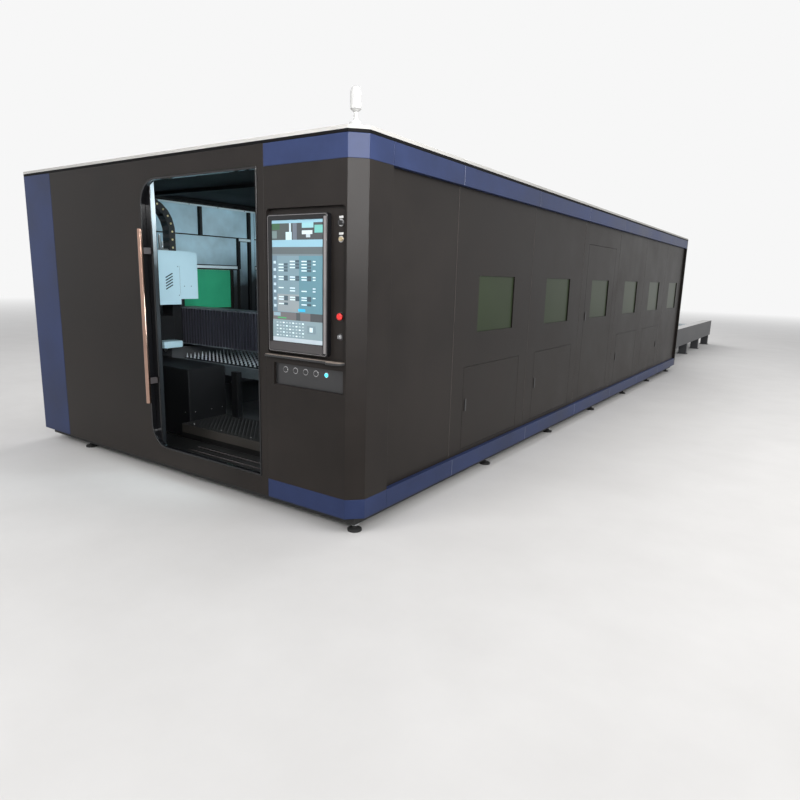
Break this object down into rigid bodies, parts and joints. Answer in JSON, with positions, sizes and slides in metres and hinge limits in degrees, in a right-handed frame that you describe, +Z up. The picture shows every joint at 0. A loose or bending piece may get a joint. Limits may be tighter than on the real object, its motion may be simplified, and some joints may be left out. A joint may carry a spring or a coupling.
{
  "type": "fiber laser cutting machine",
  "caption": "Long enclosed sheet cutting machine with a D-shaped sliding doorway, corner console, side windows and doors, a bellows gantry and a rear pallet exchange frame.",
  "frame": {"origin": "centre of the footprint on the floor, under the levelling feet", "axes": "+X to the machine's right as seen from its front, +Y from the front doorway towards the exchange frame, +Z up"},
  "size_m": [3.585, 15.413, 2.5003],
  "materials": {
    "satin_black": "fine satin powder coat",
    "gloss_black": "smooth gloss coat",
    "deep_blue": "satin powder coat",
    "roof_white": "satin paint",
    "pale_cover": "satin paint",
    "rose_gold": "satin anodised tube",
    "bright_steel": "brushed",
    "dark_steel": "mill finish",
    "frame_grey": "satin paint",
    "green_glass": "tinted laser safety glass",
    "screen_glass": "lit display behind glass",
    "bellows_black": "matt folded cover",
    "control_black": "moulded",
    "stop_red": "moulded",
    "lamp_cyan": "lit lens"
  },
  "bodies": {
    "enclosure": {"front_panel": "satin_black", "doorway_trim": "gloss_black", "left_corner_panel": "deep_blue", "console_housing": "satin_black", "screen_bezel": "gloss_black", "screen_glass": "screen_glass", "console_sill": "bright_steel", "port_strip": "control_black", "status_lamp": "lamp_cyan", "right_wall": "satin_black", "left_wall": "satin_black", "rear_wall": "satin_black", "roof_panel": "roof_white", "roof_frame": "satin_black", "base_frame": "satin_black", "bed_frame": "frame_grey", "exchange_frame": "frame_grey", "bed_front_box": "satin_black", "tread_plate": "satin_black", "narrow_cabinet": "satin_black", "camera_post": "roof_white", "lower_band_corner": "deep_blue", "lower_band_right": "deep_blue", "lower_band_left": "deep_blue", "upper_band_corner": "deep_blue", "upper_band_right": "deep_blue", "upper_band_left": "deep_blue", "right_window_1": "green_glass", "right_window_2": "green_glass", "right_window_4": "green_glass", "right_window_5": "green_glass", "right_window_6": "green_glass"},
    "sliding_door": {"front_door": "gloss_black", "front_door_handle": "rose_gold"},
    "selector": {"selector_switch": "control_black"},
    "start": {"start_button": "bright_steel"},
    "stop": {"emergency_stop": "stop_red"},
    "key": {"key_switch": "bright_steel"},
    "gantry": {"gantry_beam": "dark_steel", "bellows_right": "bellows_black", "bellows_left": "bellows_black"},
    "carriage": {"carriage_block": "satin_black", "carriage_cover": "pale_cover", "cable_chain": "control_black"},
    "head": {"head_cover": "pale_cover", "head_slide": "satin_black", "cutting_nozzle": "bright_steel"},
    "upper_table": {"upper_pallet": "dark_steel"},
    "lower_table": {"lower_pallet": "dark_steel"},
    "side_door": {"personnel_door": "satin_black", "personnel_door_pull": "control_black", "personnel_window": "green_glass"},
    "hatch_1": {"service_door_1": "satin_black", "service_door_1_pull": "control_black"},
    "hatch_2": {"service_door_2": "satin_black", "service_door_2_pull": "control_black"},
    "hatch_3": {"service_door_3": "satin_black", "service_door_3_pull": "control_black"},
    "hatch_4": {"service_door_4": "satin_black", "service_door_4_pull": "control_black"}
  },
  "joints": [
    {"name": "sliding_door_slide", "type": "slide", "parent": "enclosure", "child": "sliding_door", "axis": [1, 0, 0], "range_m": [0, 1.105]},
    {"name": "hatch_1_hinge", "type": "hinge", "parent": "enclosure", "child": "hatch_1", "pos_m": [1.7575, -5.3443, 0.565], "axis": [0, 0, 1], "range_deg": [0, 90]},
    {"name": "hatch_2_hinge", "type": "hinge", "parent": "enclosure", "child": "hatch_2", "pos_m": [1.7575, -4.0043, 0.565], "axis": [0, 0, 1], "range_deg": [0, 90]},
    {"name": "hatch_3_hinge", "type": "hinge", "parent": "enclosure", "child": "hatch_3", "pos_m": [1.7575, -1.3243, 0.565], "axis": [0, 0, 1], "range_deg": [0, 90]},
    {"name": "hatch_4_hinge", "type": "hinge", "parent": "enclosure", "child": "hatch_4", "pos_m": [1.7575, -0.9727, 0.565], "axis": [0, 0, -1], "range_deg": [0, 90]},
    {"name": "side_door_hinge", "type": "hinge", "parent": "enclosure", "child": "side_door", "pos_m": [1.7575, -2.6493, 1.0825], "axis": [0, 0, 1], "range_deg": [0, 90]},
    {"name": "selector_turn", "type": "hinge", "parent": "enclosure", "child": "selector", "pos_m": [1.6475, -7.6175, 1.804], "axis": [0, 1, 0], "range_deg": [-45, 45]},
    {"name": "key_turn", "type": "hinge", "parent": "enclosure", "child": "key", "pos_m": [1.6475, -7.6175, 1.178], "axis": [0, 1, 0], "range_deg": [0, 90]},
    {"name": "start_press", "type": "slide", "parent": "enclosure", "child": "start", "axis": [0, 1, 0], "range_m": [0, 0.003], "stiffness_N_per_m": 800},
    {"name": "stop_press", "type": "slide", "parent": "enclosure", "child": "stop", "axis": [0, 1, 0], "range_m": [0, 0.004]},
    {"name": "gantry_travel", "type": "slide", "parent": "enclosure", "child": "gantry", "axis": [0, 1, 0], "range_m": [0, 5.5]},
    {"name": "carriage_travel", "type": "slide", "parent": "gantry", "child": "carriage", "axis": [1, 0, 0], "range_m": [0, 2.1], "deforming": ["bellows_right", "bellows_left"]},
    {"name": "head_lift", "type": "slide", "parent": "carriage", "child": "head", "axis": [0, 0, 1], "range_m": [-0.02, 0.1]},
    {"name": "upper_table_travel", "type": "slide", "parent": "enclosure", "child": "upper_table", "axis": [0, 1, 0], "range_m": [0, 8.24]},
    {"name": "lower_table_travel", "type": "slide", "parent": "enclosure", "child": "lower_table", "axis": [0, 1, 0], "range_m": [-8.24, 0]}
  ],
  "couplings": [
    {"joint": "lower_table_travel", "follows": "upper_table_travel", "ratio": -1}
  ]
}
